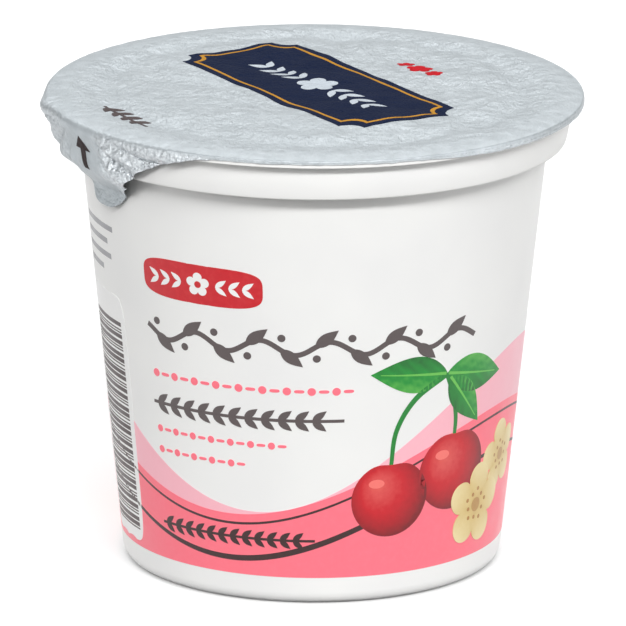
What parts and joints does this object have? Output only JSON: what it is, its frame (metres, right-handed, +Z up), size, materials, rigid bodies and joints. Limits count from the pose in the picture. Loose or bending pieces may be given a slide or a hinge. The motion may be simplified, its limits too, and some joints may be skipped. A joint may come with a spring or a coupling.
{
  "type": "yogurt pot",
  "caption": "Sealed single-serve yogurt pot: a tapered white plastic cup with a stacking band and a foil lid whose pull tab is folded down.",
  "frame": {"origin": "centre of the base, on the plane that the foot ring stands on", "axes": "+Z up along the pot's axis, -Y towards the printed front, +X to the right of that front"},
  "size_m": [0.0761, 0.076, 0.0674],
  "materials": {
    "white_plastic": "satin white thermoformed plastic",
    "lid_foil": "matt lacquered aluminium foil with a fine embossed grain",
    "printed_ink": "thin printed ink on the cup and the lid"
  },
  "bodies": {
    "root": {"cup": "white_plastic", "foil_lid": "lid_foil"}
  },
  "joints": []
}
